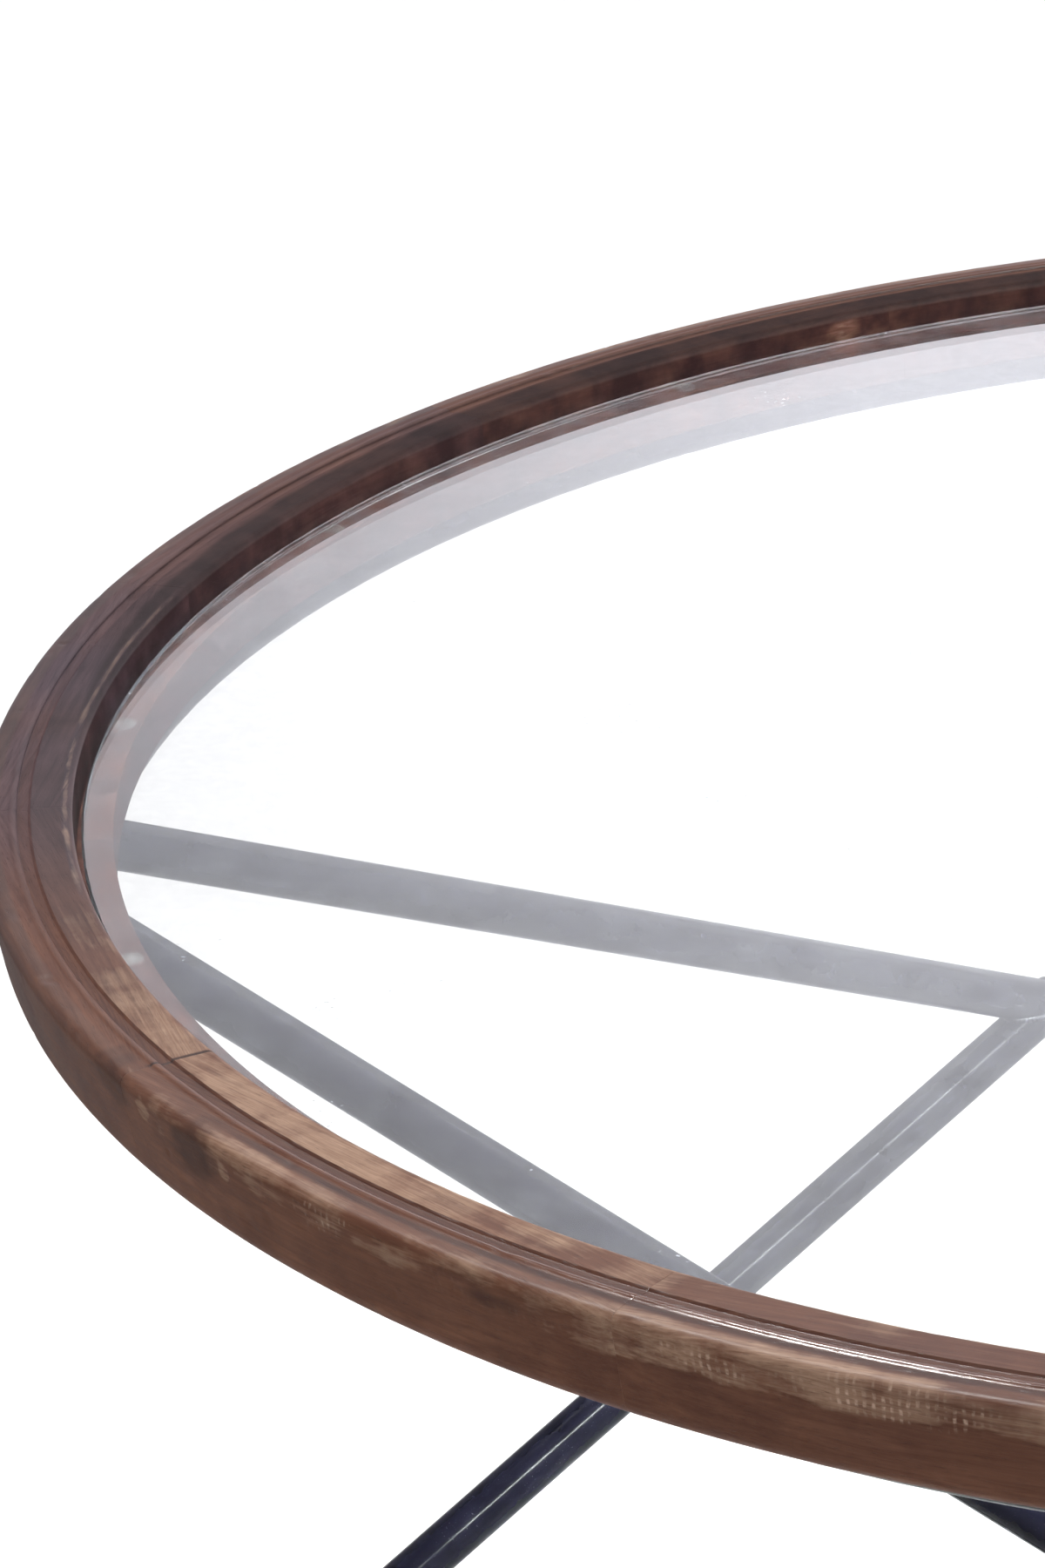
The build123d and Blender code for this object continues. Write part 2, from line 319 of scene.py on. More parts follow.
def glass_material():
    m = Maker("glass")
    where = m.place("object", (1, 1, 1))
    normal = m.node("ShaderNodeNewGeometry").outputs["Normal"]
    up = m.math("ABSOLUTE", m.node("ShaderNodeSeparateXYZ", {"Vector": normal}).outputs[2])
    edge = m.span(up, 0.95, 0.30)
    tint = m.mix(edge, (0.995, 1.0, 0.998, 1), (0.30, 0.56, 0.54, 1))
    m.set(Base_Color=tint, Roughness=0.0, IOR=1.52, Transmission_Weight=1.0,
          Coat_Weight=1.0, Coat_Roughness=0.0, Coat_IOR=1.6)
    # a thin film of dust, denser at a flat view
    cloud = m.noise(where, 9, 4, 0.6)
    mottle = m.noise(where, 75, 4, 0.7)
    facing = m.node("ShaderNodeLayerWeight", {"Blend": 0.5}).outputs["Facing"]
    film = m.span(facing, 0.50, 0.74, 0.014, 0.045)
    film = m.math("MULTIPLY", film, m.span(cloud, 0.3, 0.7, 0.6, 1.4))
    film = m.math("MULTIPLY", film, m.span(mottle, 0.36, 0.64, 0.2, 1.9))
    # grit
    grit = m.noise(where, 620, 0, 0.5)
    gather = m.noise(where, 14, 3, 0.7)
    grit = m.math("MULTIPLY", m.span(grit, 0.775, 0.795), m.span(gather, 0.62, 0.68))
    # wiped streaks across the edge, in small groups
    flat = m.node("ShaderNodeSeparateXYZ", {"Vector": where})
    out = m.node("ShaderNodeVectorMath", {0: where}, operation="LENGTH").outputs["Value"]
    turn = m.math("ARCTAN2", flat.outputs[1], flat.outputs[0])
    wipe = m.node("ShaderNodeCombineXYZ", {
        0: m.math("MULTIPLY", turn, 420.0), 1: m.math("MULTIPLY", out, 90.0)})
    group = m.node("ShaderNodeCombineXYZ", {0: m.math("MULTIPLY", turn, 16.0)})
    streaks = m.math("MULTIPLY", m.span(m.noise(wipe.outputs[0], 1.0, 2), 0.60, 0.70),
                     m.span(m.noise(group.outputs[0], 1.0, 1), 0.60, 0.68))
    at_edge = m.math("MULTIPLY", m.span(out, edge_dust_r - 0.01, edge_dust_r), streaks)
    at_edge = m.math("MULTIPLY", at_edge, m.span(turn, streak_from, streak_full))
    grit = m.math("MAXIMUM", grit, at_edge)
    film = m.math("MAXIMUM", film, m.math("MULTIPLY", grit, 0.80))
    film = m.math("MULTIPLY", film, m.span(edge, 0.0, 0.5, 1.0, 0.0))
    dust = m.node("ShaderNodeBsdfDiffuse", {"Color": (0.84, 0.88, 0.95, 1)})
    film_mix = m.node("ShaderNodeMixShader", {0: film})
    m.link(m.shader.outputs[0], film_mix.inputs[1])
    m.link(dust.outputs[0], film_mix.inputs[2])
    # lamps shine straight through the pane
    clear = m.node("ShaderNodeBsdfTransparent", {"Color": (0.86, 0.90, 0.89, 1)})
    path = m.node("ShaderNodeLightPath")
    both = m.node("ShaderNodeMixShader", {0: path.outputs["Is Shadow Ray"]})
    m.link(film_mix.outputs[0], both.inputs[1])
    m.link(clear.outputs[0], both.inputs[2])
    m.link(both.outputs[0], m.out.inputs["Surface"])
    return m.material


def plain_grain(name, low, high, scale, rough, bump, **more):
    """A material whose colour, gloss and relief follow one fine noise."""
    m = Maker(name)
    cloud = m.noise(m.place("object", scale), detail=4, rough=0.6)
    m.set(Base_Color=m.mix(m.span(cloud, 0.35, 0.65), low, high),
          Roughness=m.span(cloud, 0.3, 0.7, rough[0], rough[1]), Normal=m.bump(cloud, bump, 0.6), **more)
    return m.material


def bumper_material():
    """Clear soft plastic, hardly seen between the pane and the wood."""
    m = Maker("clear_bumper")
    cloud = m.noise(m.place("object", (300, 300, 300)), detail=3)
    m.set(Base_Color=m.mix(m.span(cloud, 0.3, 0.7), rgb(205, 212, 212), rgb(228, 234, 234)),
          Roughness=m.span(cloud, 0.3, 0.7, 0.15, 0.30), Normal=m.bump(cloud, 0.00003, 0.5))
    clear = m.node("ShaderNodeBsdfTransparent", {"Color": (0.98, 0.99, 0.99, 1)})
    both = m.node("ShaderNodeMixShader", {0: m.span(cloud, 0.3, 0.7, 0.03, 0.07)})
    m.link(clear.outputs[0], both.inputs[1])
    m.link(m.shader.outputs[0], both.inputs[2])
    m.link(both.outputs[0], m.out.inputs["Surface"])
    return m.material


wood = wood_material()
steel = steel_material()
weld = weld_material()
glass = glass_material()
dowel_wood = plain_grain(
    "dowel_wood", rgb(190, 152, 108), rgb(216, 182, 138), (900, 900, 900), (0.5, 0.65), 0.0001)
bumper = bumper_material()
black_oxide = plain_grain(
    "screw_steel", rgb(28, 28, 31), rgb(50, 50, 54), (1600, 1600, 1600), (0.34, 0.48), 0.00003)
rubber = plain_grain("foot_pad", rgb(30, 30, 31), rgb(46, 46, 47), (1400, 1400, 1400), (0.62, 0.80), 0.00012)


def dress(name, material):
    """Give a CAD node its material."""
    mesh = nodes[name].data
    if len(mesh.materials) == 0:
        mesh.materials.append(material)
    for i in range(len(mesh.materials)):
        mesh.materials[i] = material


dress("glass_top", glass)
dress("rim_dowels", dowel_wood)
dress("glass_bumpers", bumper)
dress("rim_screws", black_oxide)
dress("support_ring", steel)
for i in range(1, frame_count + 1):
    for part in ("leg_through", "leg_upper_half", "leg_lower_half"):
        dress(f"{part}_{i}", steel)
for i in range(1, 2 * frame_count + 1):
    dress(f"foot_pad_{i}", rubber)


# ---- wood rim --------------------------------------------------------------
arc_step = 0.26          # turn between the points of a rounded corner, in radians
fine_fill = 1.15         # spacing of the outline's points where the wear shows
coarse_fill = 2.6        # spacing elsewhere
fine_depth = 16.0        # depth under the top to which the fine spacing goes
arris_round = 0.4        # small roundings of the ledge and the groove's inner side
groove_round = 0.3
corner_round = 0.15      # inner corner of wall and ledge
bead_points = 6          # stretches of the bead's arc


def rounded(corners):
    """A closed outline of (r, z), with an arc of the given radius at each corner."""
    out = []
    count = len(corners)
    for k, (r, z, radius) in enumerate(corners):
        here = Vector((r, z))
        if radius <= 0:
            out.append(here)
            continue
        to_a = (Vector(corners[k - 1][:2]) - here).normalized()
        to_b = (Vector(corners[(k + 1) % count][:2]) - here).normalized()
        half = math.acos(max(-1, min(1, to_a.dot(to_b)))) / 2
        reach = radius / math.tan(half)
        centre = here + (to_a + to_b).normalized() * (radius / math.sin(half))
        a = here + to_a * reach - centre
        b = here + to_b * reach - centre
        turn = math.atan2(a.x * b.y - a.y * b.x, a.dot(b))
        steps = max(2, int(abs(turn) / arc_step))
        for step in range(steps + 1):
            w = turn * step / steps
            c, s = math.cos(w), math.sin(w)
            out.append(centre + Vector((a.x * c - a.y * s, a.x * s + a.y * c)))
    return out


def rim_outline():
    """Points and outward normals of the rim section, as (r, z), and the run along the points."""
    strip_z = table_h - bead_rise
    bead_out = rim_r - strip_w
    bead_in = bead_out - bead_w
    groove_in = bead_in - groove_w
    groove_z = table_h - groove_d
    corners = [
        (ledge_r, rim_bottom, foot_round),
        (rim_r - face_lean, rim_bottom, under_round),
        (rim_r, strip_z, top_round),
        (bead_out, strip_z, 0),
    ]
    bead_mid = (bead_out + bead_in) / 2
    half = bead_w / 2
    bead_rad = (half * half + bead_rise * bead_rise) / (2 * bead_rise)
    for k in range(1, bead_points):
        x = half - k * bead_w / bead_points
        corners.append((bead_mid + x, table_h - bead_rad + math.sqrt(bead_rad ** 2 - x * x), 0))
    corners += [
        (bead_in, strip_z, 0),
        (bead_in, groove_z, groove_round),
        (groove_in + groove_slope, groove_z, arris_round),
        (groove_in, strip_z, arris_round),
        (rabbet_r, table_h - crown_drop, lip_round),
        (rabbet_r, ledge_z, corner_round),
        (ledge_r, ledge_z, arris_round),
    ]
    rough = rounded(corners)
    points = []
    for k, a in enumerate(rough):
        b = rough[(k + 1) % len(rough)]
        shown = max(a.y, b.y) > table_h - fine_depth and min(a.x, b.x) > rabbet_r - 0.1
        steps = max(1, int((b - a).length / (fine_fill if shown else coarse_fill)))
        points += [a + (b - a) * (s / steps) for s in range(steps)]
    normals, run = [], [0.0]
    for k, p in enumerate(points):
        along = points[(k + 1) % len(points)] - points[k - 1]
        normals.append(Vector((along.y, -along.x)).normalized())
        if k:
            run.append(run[-1] + (p - points[k - 1]).length)
    return points, normals, run


outline, out_normals, outline_run = rim_outline()

# Finish round the rim: each list holds (azimuth in degrees, amount), joined by straight runs.
# Hands have rubbed the near side; the far and left sides are colder and darker.
finish = {
    # wear of the crown, the broad inner top
    "crown": [(-180, 0.0), (-150, 0.0), (-140, 0.22), (-132, 0.55), (-126, 0.95), (-112, 0.95),
              (-104, 0.62), (-98, 0.50), (-93, 0.16), (-86, 0.08), (-60, 0.25), (-20, 0.25), (30, 0.60),
              (70, 0.30), (100, 0.0), (180, 0.0)],
    # wear of the flat strip and its outer edge
    "edge": [(-180, 0.30), (-165, 0.05), (-138, 0.05), (-128, 0.20), (-116, 0.60), (-106, 0.45), (-95, 0.90),
             (-80, 0.95), (-50, 0.40), (0, 0.65), (60, 0.35), (110, 0.45), (150, 0.55), (180, 0.30)],
    # wear of the upper half of the outer face
    "face": [(-180, 0.30), (-125, 0.10), (-113, 0.30), (-104, 0.12), (-98, 0.55), (-88, 0.95), (-76, 0.85),
             (-50, 0.25), (0, 0.60), (60, 0.25), (110, 0.40), (143, 0.55), (180, 0.30)],
    # cold mauve tint
    "cold": [(-180, 0.80), (-165, 1.0), (-145, 0.90), (-136, 0.50), (-128, 0.15), (-110, 0.05), (-90, 0.30),
             (-60, 0.20), (0, 0.45), (60, 0.15), (110, 0.25), (163.9, 0.45), (164.0, 0.75), (180, 0.80)],
    # darker crown, as a share of its width from the lip outwards
    "shade": [(-180, 0.76), (-170, 0.66), (-158, 0.30), (-148, 0.08), (-138, 0.0), (70, 0.0), (100, 0.90),
              (150, 1.0), (170, 0.88), (180, 0.76)],
    # polish of the bead
    "polish": [(-180, 0.45), (-135, 0.45), (-120, 0.80), (-105, 1.0), (-80, 1.0), (-60, 0.8), (90, 0.8),
               (110, 0.55), (180, 0.45)],
    # darker strip and outer face, also laid on the crown
    "gloom": [(-180, 0.25), (-170, 0.55), (-148, 0.62), (-134, 0.42), (-124, 0.0), (-60, 0.0), (0, 0.25),
              (60, 0.0), (120, 0.10), (163.9, 0.10), (164.0, 0.45), (180, 0.25)],
    # saw marks left in the outer face
    "saw": [(-180, 0.1), (-124, 0.1), (-101, 0.2), (-97, 1.0), (-78, 1.0), (-70, 0.2), (0, 0.6), (20, 0.1),
            (90, 0.1), (120, 0.5), (160, 0.3), (180, 0.1)],
}

# Single marks: kind, azimuth, half width in degrees, depth under the top, half height, strength
marks = [
    ("kerf", -91.4, 3.4, 6.5, 7.5, 1.0),
    ("kerf", -97.2, 1.9, 7.5, 5.0, 0.8),
    ("kerf", -112.0, 1.8, 5.5, 5.0, 0.6),
    ("dark", -125.1, 1.7, 7.0, 9.0, 0.45),
    ("dark", -119.4, 1.9, 9.0, 12.0, 0.60),
    ("dark", -104.5, 2.0, 9.5, 4.5, 0.45),
    ("dark", -131.0, 2.4, 9.0, 6.0, 0.30),
    ("pale", -122.6, 0.6, 7.0, 6.0, 0.65),
    ("pale", -117.4, 0.5, 9.0, 5.0, 0.6),
    ("pale", -114.6, 3.6, 7.0, 4.5, 0.6),
    ("pale", -108.8, 2.2, 8.0, 4.0, 0.55),
    ("pale", -95.5, 4.4, 7.0, 6.0, 0.65),
    ("pale", 142.5, 1.1, 7.0, 8.0, 0.35),
]


def amount_at(points, az):
    """The amount at an azimuth from -180 to 180, from a list of (degrees, amount)."""
    for (a, low), (b, high) in zip(points, points[1:]):
        if az <= b:
            return low + (high - low) * (az - a) / (b - a)
    return points[-1][1]


def finish_and_painted_light_at(look, az, r, z):
    """Wear, tint and painted light and shade of the wood at azimuth az, radius r and height z."""
    deep = table_h - z
    p = Vector((math.cos(math.radians(az)) * 14, math.sin(math.radians(az)) * 14, deep * 0.05))
    wander = octaves(p)
    slow = octaves(p * 0.35 + Vector((0, 0, 5)))
    wear_and_highlight = dark = kerf = red = 0.0
    gloss = 0.40
    cold, shade = look["cold"], look["shade"]
    mauve = cold * (0.8 + 0.4 * slow)
    bead_out = rim_r - strip_w
    groove_out = bead_out - bead_w
    crown_out = groove_out - groove_w
    in_crown = r - rabbet_r
    on_wall = in_crown < 0.8 and deep > lip_round + crown_drop - 0.5
    if r > bead_out + quirk_w or (r > bead_out and deep > 1.5):
        level = look["face"] + (look["edge"] - look["face"]) * (1 - smooth(3.0, 7.0, deep))
        low = 12.5 + 3.0 * wander
        wear_and_highlight = (1 - smooth(low - 1.2, low + 0.8, deep)) * level * (0.85 + 0.6 * wander)
        if deep < 2.0:
            wear_and_highlight *= smooth(bead_out + 2.6, bead_out + 5.6, r + 1.2 * wander)
        mauve *= 0.5 + 0.4 * shade
        dark, gloss = look["gloom"] * (0.9 + 0.5 * wander), 0.42 + 0.25 * (1 - smooth(1.0, 4.0, deep))
        kerf = 0.3 * look["saw"] * smooth(0.05, 0.5, wander) * (1 if deep < 13 else 0)
    elif r > bead_out:
        gloss, red = 0.8 * look["polish"], 0.5 * (1 - cold)
        # painted shade: a dark line for a quirk beside the bead, which the outline doesn't cut, on the near
        # side
        near = smooth(-128.0, -112.0, az) if az < 0 else 0.4
        dark = 0.62 * near * (1 - shade) * hump(bead_out + quirk_w / 2, quirk_w * 0.62, r, 0.4)
    elif r > groove_out - 0.2:
        gloss, red = look["polish"], 0.5 * (1 - cold)
    elif r > crown_out:
        gloss, red = 0.8 * look["polish"], 0.85 * (1 - 0.8 * cold) * (1 - 0.8 * shade)
        # painted shade in the groove, on the near side, over the red-brown finish held in it
        dark = (0.38 + 0.28 * smooth(groove_out - 1.4, groove_out - 0.2, r)) * (1 - shade) * (1 - 0.7 * cold)
    elif not on_wall and in_crown > -0.5 and deep < 6:
        gloss = 0.48 - 0.30 * shade
        wear_and_highlight = look["crown"] * (0.85 + 0.80 * wander) * smooth(0.8, 3.5, in_crown)
        reach = crown_w * shade + 1.2 * wander
        dark = 0.92 * min(1.0, 3 * shade) * (1 - smooth(reach - 1.5, reach + 2.5, in_crown))
        # painted highlight: a light line along the lip's rounding at the inner top edge, cool-tinted on the
        # left side
        cool_lip_highlight = hump(-155.0, 19.0, az, 0.7) * hump(2.7, 1.2, in_crown, 0.5) if az < 0 else 0.0
        lip_highlight = max(0.55 * cool_lip_highlight, 0.7 * (1 - shade) * (1 - cold) * hump(2.0, 1.1, in_crown, 0.6))
        dark = max(dark, 0.85 * look["gloom"] * (0.8 + 0.5 * wander))
        wear_and_highlight, dark, mauve = max(wear_and_highlight, lip_highlight), dark * (1 - lip_highlight), max(mauve, cool_lip_highlight)
    # painted shade: the ledge under the glass made dark, as if the wall above shadows it
    elif rabbet_d - 0.6 < deep < rabbet_d + 0.5 and r < rabbet_r:
        wear_and_highlight, dark, mauve, gloss = 0.0, 0.92, 0.4, 0.0
    # painted shade: the inner wall above the glass made black all round
    elif on_wall:
        dark, gloss = 1.0, 0.0
    else:
        dark, red = 0.30 + 0.2 * wander, 0.45 * (1 - cold)
    fray = 0.30 * wander + 0.25 * noise.noise(p * 7)
    for kind, at, half, mid, tall, power in marks:
        off = (az - at + 180) % 360 - 180
        if abs(off) > 1.4 * half or (r < bead_out and not (at > 0 and on_wall)):
            continue
        amount = power * (1 - smooth(0.5, 1.0, math.hypot(off / half, (deep - mid) / tall) + fray))
        if kind == "kerf":
            kerf = max(kerf, amount)
        elif kind == "dark":
            dark, wear_and_highlight = max(dark, amount), wear_and_highlight * (1 - amount)
        else:
            wear_and_highlight, dark = max(wear_and_highlight, amount), dark * (1 - amount)

    def clamp(v):
        return min(1.0, max(0.0, v))

    return (clamp(wear_and_highlight), clamp(dark), clamp(kerf)), (clamp(mauve), clamp(red), clamp(gloss))


close_felloes = (3, 7, 8)    # felloes with the finest mesh
close_steps = 420
far_steps = 200
open_seam = 7            # the felloe at whose start a dark glue line shows on the crown
open_seam_depth = 6.0
dent_seed = 400
dent_count = 26
dent_end = 0.3           # least turn between a dent and a felloe's end, in degrees
dent_from = 30           # where the dents begin along the outline, in millimetres
dent_share = 0.62        # and the share of the outline at which they end
dent_run = 9.3           # millimetres along the rim for a degree, for the dents
ripple_run = 9.32        # the same for the relief of the saw marks
bore_sides = 28


def make_felloe(number):
    """One felloe of the rim, with eased ends, dents, wear and saw marks in its surface, and painted highlight
    and shade in its colours.
    """
    rng = random.Random(dent_seed + number)
    start = apex + seam_shift + (number - 1) * pitch
    arc = pitch - math.degrees(glue_gap / rim_r)
    squeeze = math.degrees((glue_gap - glue_line) / 2 / rim_r)
    start -= squeeze
    arc += 2 * squeeze
    steps = close_steps if number in close_felloes else far_steps
    ease = math.degrees(seam_ease / rim_r)
    angles = [0.0, ease * 0.25, ease * 0.55, ease]
    angles += [ease + (arc - 2 * ease) * k / steps for k in range(1, steps)]
    angles += [arc - ease, arc - ease * 0.55, arc - ease * 0.25, arc]
    middle = math.radians(start + pitch / 2)
    cm, sm = math.cos(middle), math.sin(middle)
    dents = []
    for _ in range(dent_count):
        at_turn = rng.uniform(dent_end, arc - dent_end)
        at_run = rng.uniform(dent_from, outline_run[-1] * dent_share)
        dents.append((at_turn, at_run, rng.uniform(1.0, 3.6), rng.uniform(0.10, 0.42), rng.uniform(1.0, 2.6)))
    seed = Vector((number * 0.731, number * 0.417, number * 0.293))
    verts, grain, wear_and_painted_light, tint = [], [], [], []
    for a in angles:
        az = start + a
        c, s = math.cos(math.radians(az)), math.sin(math.radians(az))
        turned = (az + 180) % 360 - 180
        look = {name: amount_at(points, turned) for name, points in finish.items()}
        to_end = min(a, arc - a) * math.pi / 180 * rim_r
        near = [d for d in dents if abs(d[0] - a) * dent_run < d[2] * d[4]]
        for k, p in enumerate(outline):
            (wear_and_highlight, dark, kerf), colours = finish_and_painted_light_at(look, turned, p.x, p.y)
            where = Vector((c * p.x, s * p.x, p.y))
            cut = 0.05 + 0.05 * noise.noise(where * 0.05 + seed)
            cut += wear_and_highlight * (0.10 + 0.16 * noise.noise(where * 0.16 + seed))
            cut += kerf * 0.16 * max(0.0, noise.noise(Vector((a * ripple_run, number, p.y * 0.10))))
            for da, dr, size, depth, long in near:
                u = (a - da) * dent_run / (size * long)
                v = (outline_run[k] - dr) / size
                q = u * u + v * v
                if q < 1:
                    cut += depth * (1 - q) ** 2
            on_crown = p.x < rim_r - strip_w and p.y > table_h - open_seam_depth
            if number + (a > arc / 2) == open_seam and to_end < seam_ease and on_crown:
                dark = max(dark, 0.85)
                wear_and_highlight *= 0.3
            if to_end < seam_ease:
                cut += seam_cut * (1 - to_end / seam_ease) ** 2
            cut = max(0.0, cut)
            q = p - out_normals[k] * cut
            verts.append((c * q.x * MM, s * q.x * MM, q.y * MM))
            x, y = c * q.x, s * q.x
            local = Vector(((x * cm + y * sm) * MM, (-x * sm + y * cm) * MM, q.y * MM))
            grain.append(local + seed)
            wear_and_painted_light.append((wear_and_highlight, dark, kerf, 1.0))
            tint.append((*colours, 1.0))
    count, rings = len(outline), len(angles)
    faces = []
    for i in range(rings - 1):
        for k in range(count):
            n = (k + 1) % count
            faces.append((i * count + k, (i + 1) * count + k, (i + 1) * count + n, i * count + n))
    name = f"felloe_{number:02d}"
    mesh = bpy.data.meshes.new(name)
    mesh.from_pydata(verts, [], faces)
    close_ends(mesh, count, rings, start, arc)
    mesh.update()
    extra = len(mesh.vertices) - len(verts)
    for _ in range(extra):
        grain.append(seed)
        wear_and_painted_light.append((0.0, 0.3, 0.0, 1.0))
        tint.append((0.0, 0.0, 0.0, 1.0))
    for title, kind, field, data in (
            ("grain", "FLOAT_VECTOR", "vector", grain),
            ("wear_and_painted_light", "FLOAT_COLOR", "color", wear_and_painted_light),
            ("tint", "FLOAT_COLOR", "color", tint)):
        layer = mesh.attributes.new(title, kind, "POINT")
        layer.data.foreach_set(field, [v for row in data for v in row])
    mesh.polygons.foreach_set("use_smooth", [len(p.vertices) == 4 for p in mesh.polygons])
    mesh.materials.append(wood)
    piece = bpy.data.objects.new(name, mesh)
    bpy.context.scene.collection.objects.link(piece)
    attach(piece, "table")
    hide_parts(f"rim_segment_{number:02d}")


def close_ends(mesh, count, rings, start, arc):
    """Close both ends of a felloe, each with the bore of its dowel."""
    bm = bmesh.new()
    bm.from_mesh(mesh)
    hole_r, hole_z = rim_r - wall_w / 2, table_h - rim_h / 2
    radius = dowel_d / 2 + dowel_fit
    depth = dowel_len / 2 + dowel_end_gap
    for base, at, way in ((0, start, 1), ((rings - 1) * count, start + arc, -1)):
        bm.verts.ensure_lookup_table()
        c, s = math.cos(math.radians(at)), math.sin(math.radians(at))
        bore = []
        for inward in (0.0, depth):
            loop = []
            for k in range(bore_sides):
                w = 2 * math.pi * k / bore_sides
                r, z = hole_r + radius * math.cos(w), hole_z + radius * math.sin(w)
                x, y = c * r - s * inward * way, s * r + c * inward * way
                loop.append(bm.verts.new((x * MM, y * MM, z * MM)))
            bore.append(loop)
        bm.verts.ensure_lookup_table()
        rim = [bm.verts[base + k] for k in range(count)]
        edges = []
        for loop in (rim, bore[0]):
            for k in range(len(loop)):
                pair = (loop[k], loop[(k + 1) % len(loop)])
                edges.append(bm.edges.get(pair) or bm.edges.new(pair))
        bmesh.ops.triangle_fill(bm, use_beauty=True, use_dissolve=False, edges=edges)
        for k in range(bore_sides):
            n = (k + 1) % bore_sides
            bm.faces.new((bore[0][k], bore[0][n], bore[1][n], bore[1][k]))
        bm.faces.new(bore[1])
    bmesh.ops.recalc_face_normals(bm, faces=bm.faces)
    bm.to_mesh(mesh)
    bm.free()


for number in range(1, felloe_count + 1):
    make_felloe(number)


# ---- weld beads ------------------------------------------------------------
crossing_bead = 1.5      # bead radii
ring_bead = 2.0
butt_bead = 1.0
crossing_reach = 900     # how far along a leg the crossing is looked for
ring_back = 45           # the ring is looked for from this far down a leg, over ring_reach upwards
ring_reach = 70
wood_gap = 2.4           # a ring weld stays this far under the wood
inside_gap = 1.5         # and this far inside the ring's centre line
bead_step = 0.35         # spacing of the points along a bead
bead_sides = 12
ripple_pitch = 1.7
butt_points = 60
butt_open = 38           # turn either side of the ring's top that its butt weld leaves free, in degrees


def leg_line(side, turn):
    """Top and foot of a leg's centre line, in the row frame."""
    spin = Matrix.Rotation(math.radians(turn), 4, "Z")
    top = Vector((frame_off, -side * top_run, ring_z + leg_top_up))
    foot = Vector((frame_off, side * foot_run, pad_t))
    return spin @ top, spin @ foot


def side_vectors(way):
    a = way.cross(Vector((0, 0, 1))).normalized()
    return a, way.cross(a).normalized()


def meet(start, way, reach, gap, step=0.8):
    """The first point along way at which gap, a distance to a surface, falls to 0."""
    last, t = gap(start), 0.0
    while t < reach:
        t += step
        now = gap(start + way * t)
        if now <= 0 < last:
            lo, hi = t - step, t
            for _ in range(24):
                mid = (lo + hi) / 2
                if gap(start + way * mid) > 0:
                    lo = mid
                else:
                    hi = mid
            return start + way * hi
        last = now
    return None


def weld_run(start, way, gap, reach, keep, turns=96):
    """Points where a leg tube meets a surface, as runs of neighbouring points."""
    a, b = side_vectors(way)
    hits = []
    for k in range(turns):
        w = 2 * math.pi * k / turns
        p = meet(start + (a * math.cos(w) + b * math.sin(w)) * (leg_d / 2), way, reach, gap)
        hits.append(p if p is not None and keep(p) else None)
    if all(hits):
        return [(hits, True)]
    first = next(k for k in range(turns) if hits[k] is None)
    runs, row = [], []
    for k in range(1, turns + 1):
        p = hits[(first + k) % turns]
        if p is None:
            if len(row) > 5:
                runs.append((row, False))
            row = []
        else:
            row.append(p)
    return runs


def bead_mesh(path, closed, size):
    """A rippled weld bead along a path, as vertices and faces."""
    fine = []
    count = len(path)
    for k in range(count if closed else count - 1):
        a, b = path[k], path[(k + 1) % count]
        steps = max(1, int((b - a).length / bead_step))
        fine += [a + (b - a) * (s / steps) for s in range(steps)]
    if not closed:
        fine.append(path[-1])
    n = len(fine)
    sides = bead_sides
    verts, faces, travel = [], [], 0.0
    for k, p in enumerate(fine):
        before = fine[k - 1] if closed or k else fine[k]
        after = fine[(k + 1) % n] if closed or k < n - 1 else fine[k]
        along = (after - before).normalized()
        travel += (p - before).length
        u, v = side_vectors(along)
        ripple = abs(math.sin(math.pi * travel / ripple_pitch)) ** 0.6
        r = size * (0.80 + 0.20 * ripple + 0.06 * noise.noise(p * 0.4))
        if not closed:
            r *= math.sqrt(max(0.03, min(1.0, min(k, n - 1 - k) / 5)))
        for j in range(sides):
            w = 2 * math.pi * j / sides
            verts.append((p + (u * math.cos(w) + v * math.sin(w)) * r) * MM)
    for k in range(n if closed else n - 1):
        m = (k + 1) % n
        for j in range(sides):
            i = (j + 1) % sides
            faces.append((k * sides + j, k * sides + i, m * sides + i, m * sides + j))
    if not closed:
        faces.append(tuple(range(sides))[::-1])
        faces.append(tuple((n - 1) * sides + j for j in range(sides)))
    return verts, faces


def weld_piece(name, runs, size):
    verts, faces = [], []
    for path, closed in runs:
        v, f = bead_mesh(path, closed, size)
        faces += [tuple(i + len(verts) for i in face) for face in f]
        verts += v
    return add_mesh(name, verts, faces, weld)


def to_ring(p):
    """Distance to the support ring's surface."""
    return math.hypot(math.hypot(p.x, p.y) - ring_r, p.z - ring_z) - ring_d / 2


def anywhere(p):
    return True


def clear_of_wood(p):
    """Whether a point of a ring weld lies under the wood and inside the ring."""
    return p.z < rim_bottom - wood_gap and math.hypot(p.x, p.y) < ring_r - inside_gap


for i in range(frame_count):
    turn = apex + 180 / frame_count + i * 360 / frame_count
    t_top, t_foot = leg_line(-1, turn)
    t_way = (t_foot - t_top).normalized()

    def to_through(p):
        d = p - t_top
        return (d - t_way * d.dot(t_way)).length - leg_d / 2

    c_top, c_foot = leg_line(1, turn)
    c_way = (c_foot - c_top).normalized()
    runs = weld_run(c_top, c_way, to_through, crossing_reach, anywhere)
    runs += weld_run(c_foot, -c_way, to_through, crossing_reach, anywhere)
    weld_piece(f"weld_crossing_{i + 1}", runs, crossing_bead)
    runs = []
    for top, way in ((t_top, t_way), (c_top, c_way)):
        runs += weld_run(top + way * ring_back, -way, to_ring, ring_reach, clear_of_wood)
    weld_piece(f"weld_ring_{i + 1}", runs, ring_bead)

